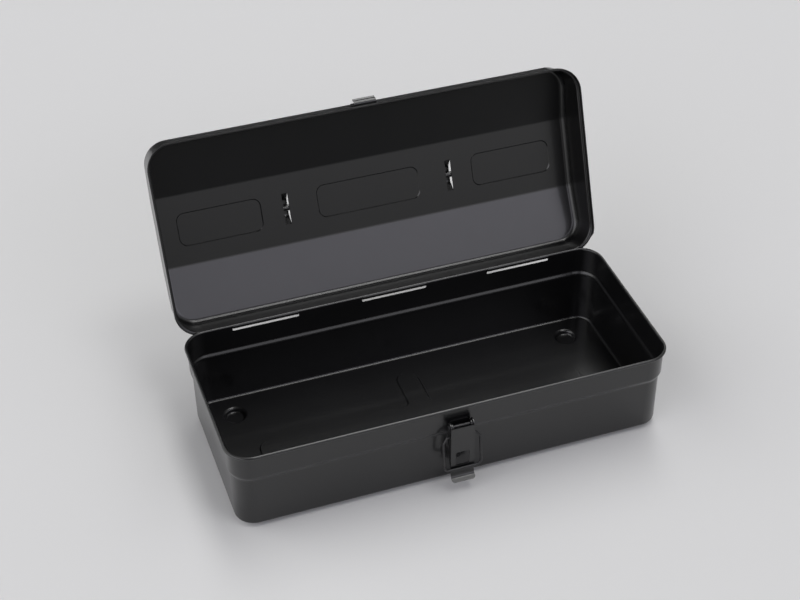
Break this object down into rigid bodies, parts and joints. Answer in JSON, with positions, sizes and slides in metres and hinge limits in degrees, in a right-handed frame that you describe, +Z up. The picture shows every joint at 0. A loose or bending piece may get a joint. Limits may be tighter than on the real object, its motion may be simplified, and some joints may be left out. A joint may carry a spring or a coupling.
{
  "type": "tool box",
  "caption": "Small pressed steel tool box with a camber lid on tongue hinges, a bail handle and a draw latch, shown open",
  "frame": {"origin": "centre of the underside, on the plane of the four pressed feet", "axes": "+X to the right along the length, -Y to the front with the latch, +Z up"},
  "size_m": [0.359, 0.246, 0.2182],
  "materials": {
    "black_paint": "semi-gloss baked black paint",
    "blackened_steel": "black plated steel"
  },
  "bodies": {
    "body": {"body_shell": "black_paint", "latch_base": "black_paint", "base_rivets": "blackened_steel", "lever_pin": "blackened_steel"},
    "lid": {"lid_shell": "black_paint", "lid_catch": "black_paint", "catch_rivets": "blackened_steel"},
    "handle": {"handle": "black_paint"},
    "lever": {"latch_lever": "black_paint"},
    "loop": {"latch_loop": "blackened_steel"}
  },
  "joints": [
    {"name": "lid_hinge", "type": "hinge", "parent": "body", "child": "lid", "pos_m": [0, 0.0756, 0.0751], "axis": [1, 0, 0], "range_deg": [0, 112]},
    {"name": "handle_pivot", "type": "hinge", "parent": "lid", "child": "handle", "pos_m": [0, 0.1398, 0.1307], "axis": [1, 0, 0], "range_deg": [-22, 158]},
    {"name": "lever_pivot", "type": "hinge", "parent": "body", "child": "lever", "pos_m": [0, -0.08, 0.0615], "axis": [-1, 0, 0], "range_deg": [0, 164.5]},
    {"name": "loop_pivot", "type": "hinge", "parent": "lever", "child": "loop", "pos_m": [0, -0.081, 0.0525], "axis": [-1, 0, 0], "range_deg": [0, 176.6]}
  ]
}
